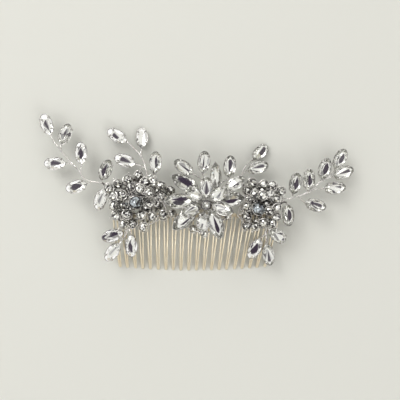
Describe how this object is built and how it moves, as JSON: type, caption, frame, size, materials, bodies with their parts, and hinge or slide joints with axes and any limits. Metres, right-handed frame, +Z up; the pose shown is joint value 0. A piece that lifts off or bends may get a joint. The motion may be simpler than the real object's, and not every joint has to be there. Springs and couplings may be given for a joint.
{
  "type": "decorative hair comb",
  "caption": "Wire hair comb with doubled teeth, a marquise-crystal flower, faceted bead clusters and hand-bendable crystal leaf sprays.",
  "frame": {"origin": "on the table, under the middle of the comb's outline as it lies on its back", "axes": "+X along the comb's spine, -Y the way the teeth point, +Z up through the flower"},
  "size_m": [0.1544, 0.0776, 0.024],
  "materials": {
    "comb_wire": "pale champagne-gold plated wire, satin",
    "silver_wire": "bright silver-plated fine craft wire, twisted",
    "silver_setting": "silver-plated stamped claw settings and plate",
    "crystal": "clear foil-backed faceted glass in a silver claw setting",
    "smoky_bead": "clear to smoky faceted glass beads on silver wire"
  },
  "bodies": {
    "comb": {"wire_comb": "comb_wire", "binding_wire": "comb_wire", "flower_plate": "silver_setting", "centre_cup": "silver_setting", "centre_stone": "crystal", "petal_1": "crystal", "petal_2": "crystal", "petal_3": "crystal", "petal_4": "crystal", "petal_5": "crystal", "petal_6": "crystal", "petal_7": "crystal", "inner_petal_1": "crystal", "inner_petal_2": "crystal", "inner_petal_3": "crystal", "inner_petal_4": "crystal", "inner_petal_5": "crystal", "inner_petal_6": "crystal", "upper_left_leaf_1": "crystal", "upper_left_leaf_2": "crystal", "upper_left_leaf_3": "crystal", "upper_left_leaf_4": "crystal", "upper_left_stem": "silver_wire", "upper_right_leaf_1": "crystal", "upper_right_leaf_2": "crystal", "upper_right_stem": "silver_wire", "centre_leaf_1": "crystal", "centre_leaf_2": "crystal", "centre_leaf_3": "crystal", "centre_stem": "silver_wire", "lower_left_leaf_1": "crystal", "lower_left_leaf_2": "crystal", "lower_left_leaf_3": "crystal", "lower_left_stem": "silver_wire", "lower_right_leaf_1": "crystal", "lower_right_leaf_2": "crystal", "lower_right_leaf_3": "crystal", "lower_right_stem": "silver_wire", "left_edge_leaf_1": "crystal", "left_edge_leaf_2": "crystal", "right_edge_leaf": "crystal", "left_bead_cluster": "smoky_bead", "right_bead_cluster": "smoky_bead", "flower_bead_wire": "smoky_bead"},
    "left_spray": {"left_spray_leaf_1": "crystal", "left_spray_leaf_2": "crystal", "left_spray_leaf_3": "crystal", "left_spray_leaf_4": "crystal", "left_spray_leaf_5": "crystal", "left_spray_stem": "silver_wire"},
    "right_spray": {"right_spray_leaf_1": "crystal", "right_spray_leaf_2": "crystal", "right_spray_leaf_3": "crystal", "right_spray_leaf_4": "crystal", "right_spray_leaf_5": "crystal", "right_spray_leaf_6": "crystal", "right_spray_leaf_7": "crystal", "right_spray_stem": "silver_wire"}
  },
  "joints": [
    {"name": "left_spray_bend", "type": "hinge", "parent": "comb", "child": "left_spray", "pos_m": [-0.04576, 0.00459, 0.0109], "axis": [0.6, 0.8, 0], "range_deg": [-8, 35]},
    {"name": "right_spray_bend", "type": "hinge", "parent": "comb", "child": "right_spray", "pos_m": [0.04274, -0.00301, 0.011], "axis": [0.4706, -0.8824, 0], "range_deg": [-8, 35]}
  ]
}
